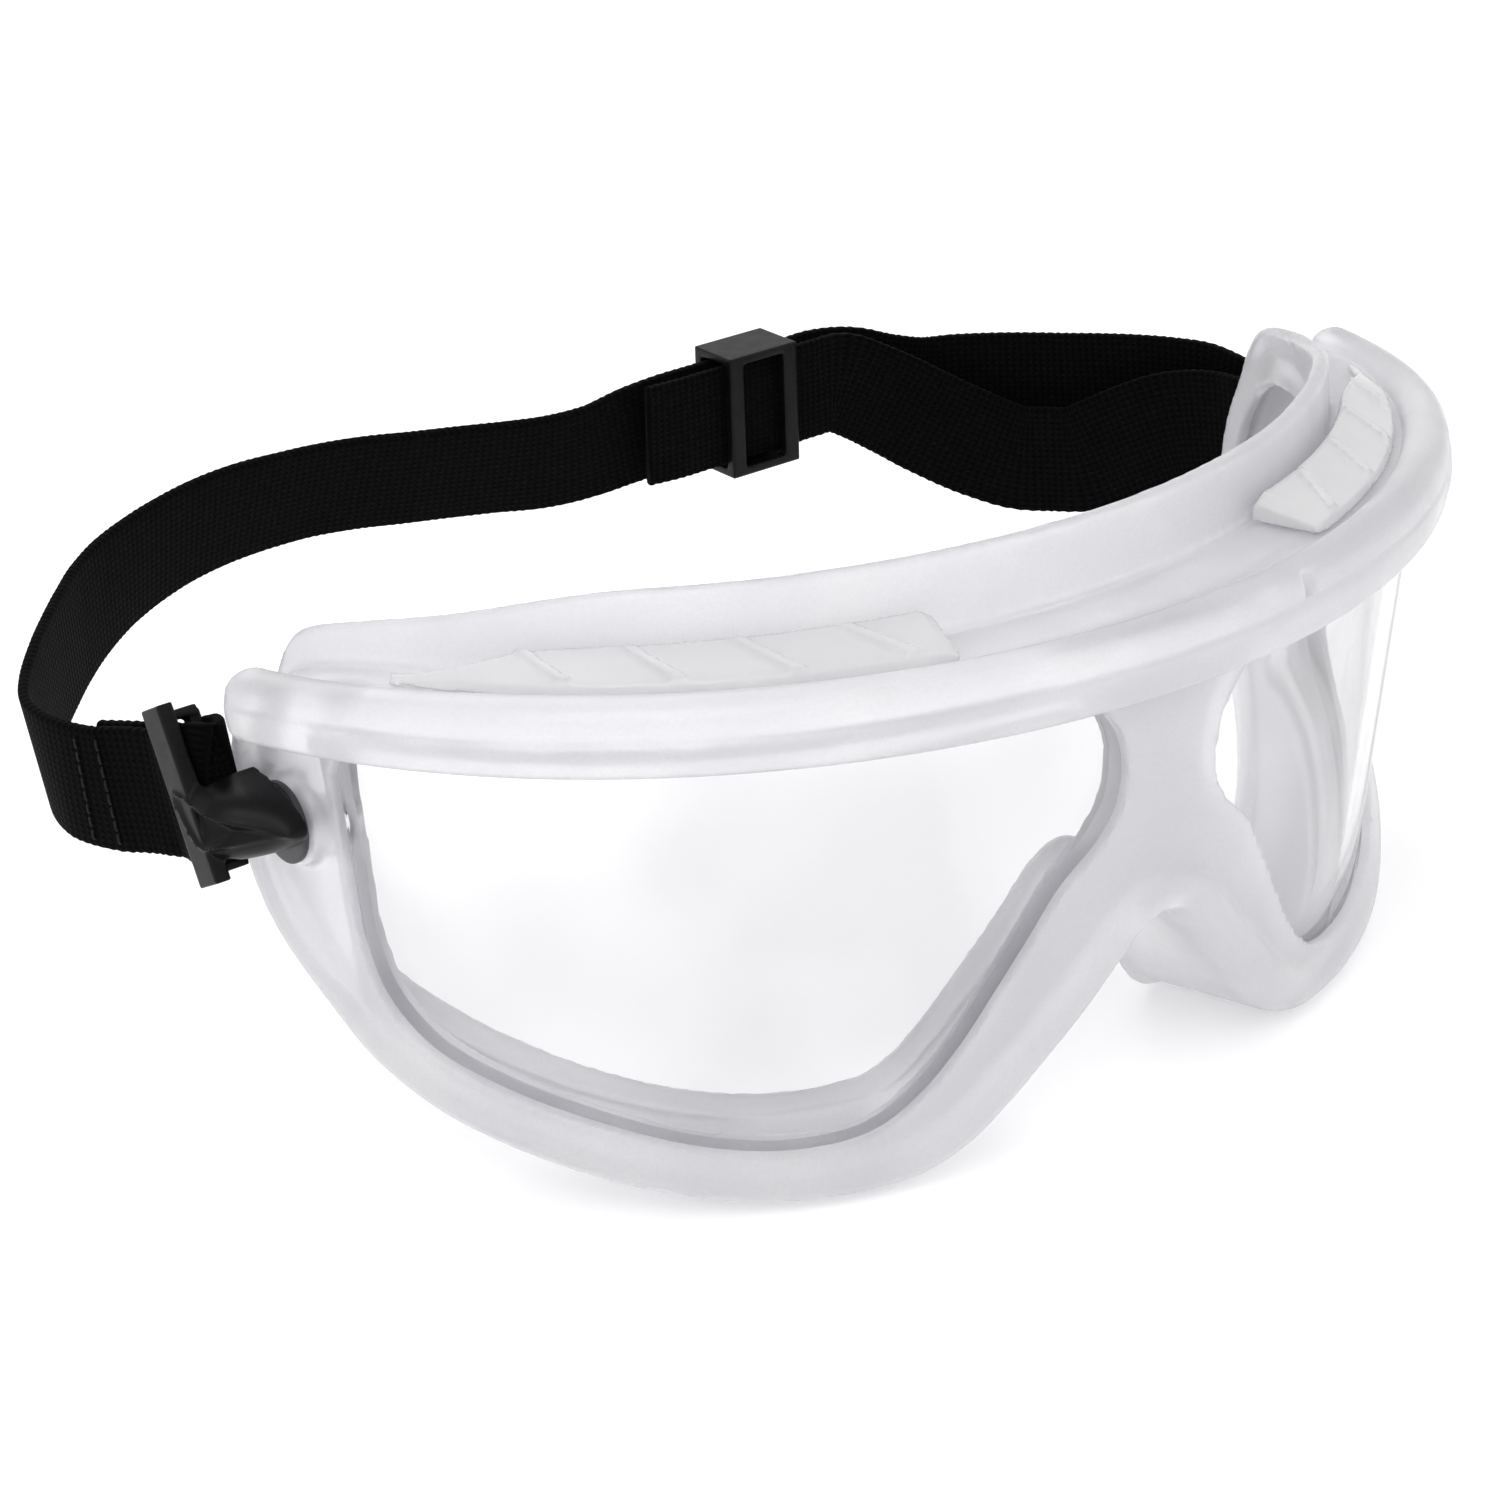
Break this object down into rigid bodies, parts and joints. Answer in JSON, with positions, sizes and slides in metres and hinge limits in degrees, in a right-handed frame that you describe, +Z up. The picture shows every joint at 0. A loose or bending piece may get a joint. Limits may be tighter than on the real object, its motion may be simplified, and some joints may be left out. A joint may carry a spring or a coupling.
{
  "type": "safety goggles",
  "caption": "Wide-vision safety goggles: soft frosted wrap frame with brow rail, clear wrap lens, ribbed vent covers and a black elastic headband on pivoting clips.",
  "frame": {"origin": "on the plane of symmetry, level with the frame's lowest points, at the front of the brow rail", "axes": "+Z up, -Y the way the wearer looks, +X the wearer's left"},
  "size_m": [0.1755, 0.1368, 0.0705],
  "materials": {
    "frosted_vinyl": "frosted translucent soft vinyl",
    "clear_lens": "clear polished polycarbonate",
    "clear_vinyl": "translucent satin vinyl",
    "black_nylon": "semi-gloss moulded nylon",
    "dark_washer": "satin",
    "black_webbing": "woven elastic"
  },
  "bodies": {
    "frame": {"frame_body": "frosted_vinyl", "lens": "clear_lens", "vent_cover_left": "clear_vinyl", "vent_cover_right": "clear_vinyl", "pivot_washer_left": "dark_washer", "pivot_washer_right": "dark_washer"},
    "right_clip": {"strap_clip_right": "black_nylon", "peg_cap_right": "clear_vinyl", "head_strap": "black_webbing"},
    "left_clip": {"strap_clip_left": "black_nylon", "peg_cap_left": "clear_vinyl"},
    "adjuster": {"slide_adjuster": "black_nylon"}
  },
  "joints": [
    {"name": "right_clip_turn", "type": "hinge", "parent": "frame", "child": "right_clip", "pos_m": [-0.0766, 0.0608, 0.0425], "axis": [1, 0, 0], "range_deg": [-30, 12]},
    {"name": "left_clip_turn", "type": "hinge", "parent": "frame", "child": "left_clip", "pos_m": [0.0766, 0.0608, 0.0425], "axis": [1, 0, 0], "range_deg": [-30, 12]},
    {"name": "adjuster_slide", "type": "slide", "parent": "right_clip", "child": "adjuster", "axis": [1, 0, 0], "range_m": [-0.007, 0.007]}
  ],
  "couplings": [
    {"joint": "left_clip_turn", "follows": "right_clip_turn", "ratio": 1}
  ]
}
